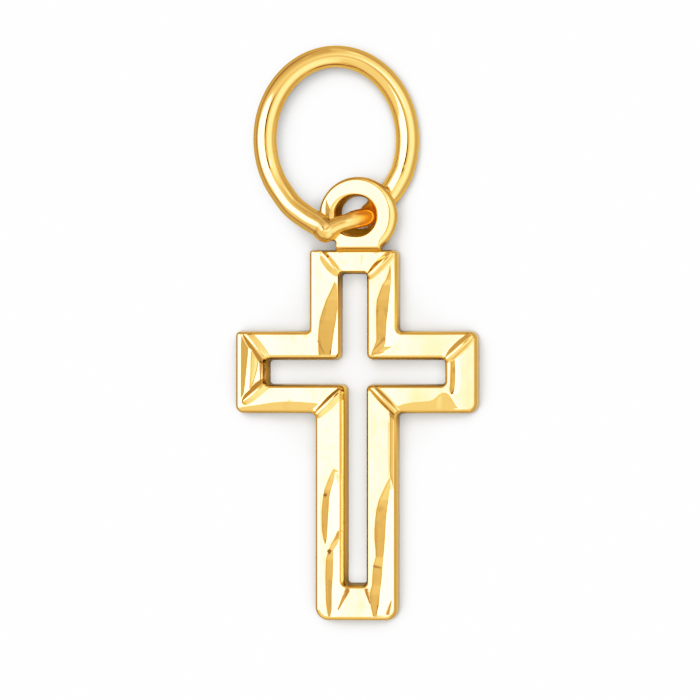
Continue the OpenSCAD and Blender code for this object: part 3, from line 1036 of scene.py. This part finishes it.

# %% [markdown]
# The hole's wall has painted shade, most on its foot side, and a painted orange glow on the right,
# where the wire is close. The rim has painted shade too, most on its top and its left.

# %% Eyelet
# painted shade on the hole's wall, by angle
hole_painted_shade = by_angle([
    (0, 0.0), (45, 0.2), (90, 0.5), (150, 0.5), (200, 0.55), (240, 0.85), (300, 0.85), (330, 0.2),
])
# painted orange glow on the hole's wall, by angle
hole_glow = by_angle([(0, 1.0), (20, 1.0), (60, 0.6), (150, 0.5), (220, 0.3), (305, 0.3), (340, 1.0)])
# painted shade on the rim, by angle
rim_painted_shade = by_angle([
    (0, 0.1), (60, 0.25), (90, 0.45), (150, 0.35), (190, 0.4), (228, 0.4), (245, 0.1), (295, 0.1),
    (308, 0.4), (325, 0.1),
])
LOW_RIM_SHARE = 0.4
tarnish = np.zeros((len(eye_rows), len(angles)))
glow = np.zeros(tarnish.shape)
tarnish[2:4] = rim_painted_shade * LOW_RIM_SHARE
tarnish[4:len(RIM) - 3] = rim_painted_shade
tarnish[-len(HOLE):] = hole_painted_shade
glow[-len(HOLE):] = hole_glow
cross_eyelet = make_piece("cross_eyelet", points, faces, cut_gold, tarnish=tarnish, glow=glow)
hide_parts("cross")

# %% [markdown]
# ## Jump ring
#
# A round wire bent to a ring that is a little higher than wide. It rises on the left, and its
# flattened end comes up through the eyelet and is soldered to the left side. A torus is even all
# round, so the wire follows a route with its own place and radius at each step.

# %% Route of the wire
# x, y, height of the wire's middle, and its radius, from the ring's right foot through the eyelet
PASSAGE = [
    (1.03, 12.7, 0.355, 0.345), (0.81, 12.46, 0.335, 0.33), (0.62, 12.3, 0.33, 0.3),
    (0.46, 12.14, 0.44, 0.27), (0.36, 12.03, 0.74, 0.26), (0.32, 11.9, 1.08, 0.28),
    (0.03, 11.82, 1.38, 0.27), (-0.22, 11.74, 1.53, 0.235), (-0.46, 11.66, 1.58, 0.235),
    (-0.68, 11.55, 1.59, 0.275), (-0.83, 11.46, 1.59, 0.325), (-0.95, 11.6, 1.585, 0.34),
    (-1.131, 11.716, 1.55, 0.345), (-1.452, 11.91, 1.45, 0.345), (-1.835, 12.21, 1.35, 0.345),
]
WIRE_R, WIRE_THINNING = 0.345, 0.044
RING_X, RING_Y, RING_A = -0.624, 14.195, 2.115
# how far the ring's top lies below the solid's
TOP_DROP = 0.035
RING_TOP = ring_high.y / MM + mid_y - TOP_DROP
RING_B = RING_TOP - WIRE_R + WIRE_THINNING / 2 - RING_Y
RING_TILT, RING_LEAN = 0.2, 0.1
# the ring's own part in degrees, and how many steps it has
RING_START, RING_END, RING_STEPS = 220, -25, 30
# past this angle the wire climbs to the joint
CLIMB_FROM, CLIMB = 190, 0.16


def ring_point(t):
    """Middle of the wire and its radius at t degrees round the ring."""
    a = math.radians(t)
    r = WIRE_R - WIRE_THINNING / 2 * max(0, math.sin(a)) ** 2
    climb = max(0, (t - CLIMB_FROM) / (RING_START - CLIMB_FROM))
    rise = RING_TILT * RING_A * (1 - math.cos(a)) + CLIMB * climb ** 2
    return (RING_X + RING_A * math.cos(a) + RING_LEAN * rise, RING_Y + RING_B * math.sin(a), r + rise, r)


def smooth_route(table, steps):
    """A smooth closed curve through the rows of the table, with this many steps between two."""
    made = []
    count = len(table)
    for k in range(count):
        p0, p1, p2, p3 = (table[(k + j) % count] for j in (-1, 0, 1, 2))
        for s in range(steps):
            t = s / steps
            made.append(
                (2 * p1 + (p2 - p0) * t + (2 * p0 - 5 * p1 + 4 * p2 - p3) * t * t
                 + (3 * p1 - p0 - 3 * p2 + p3) * t ** 3) / 2
            )
    return np.array(made)


turn_of_ring = RING_START - RING_END
on_ring = [ring_point(RING_START - turn_of_ring * i / (RING_STEPS - 1)) for i in range(RING_STEPS)]
wire = smooth_route(np.array(PASSAGE + on_ring), 10)
print("steps along the wire:", len(wire))

# %% [markdown]
# A round section is carried along the route. The part that passes through the eyelet is darker
# and rougher, most at its joint with the ring, and it has a painted orange glow in the hole.

# %% Jump ring
SIDES = 32
# steps along the wire, and the share there
DULLER = [
    (30, 0), (45, 0.1), (60, 0.12), (75, 0.12), (95, 0.15), (105, 0.2), (108, 0.5), (111, 0.5),
    (114, 0.15), (135, 0),
]
# painted orange glow of gold lit by gold, where the wire runs in the hole
GLOW = [(20, 0), (30, 0.6), (36, 1), (56, 1), (63, 0.4), (72, 0)]
turn = np.linspace(0, 2 * math.pi, SIDES, endpoint=False)[:, None]
loops = []
for k in range(len(wire)):
    onward = wire[(k + 1) % len(wire), :3] - wire[k - 1, :3]
    onward /= np.linalg.norm(onward)
    sideways = np.cross(onward, (0, 0, 1))
    sideways /= np.linalg.norm(sideways)
    upward = np.cross(sideways, onward)
    loops.append(wire[k, :3] + wire[k, 3] * (np.cos(turn) * sideways + np.sin(turn) * upward))
points, faces = strips(loops)
tarnish, glow = (
    np.repeat(np.interp(np.arange(len(wire)), *zip(*table)), SIDES) for table in (DULLER, GLOW)
)
ring_wire = make_piece("jump_ring_wire", points, faces, wire_gold, tarnish=tarnish, glow=glow)
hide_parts("jump_ring")
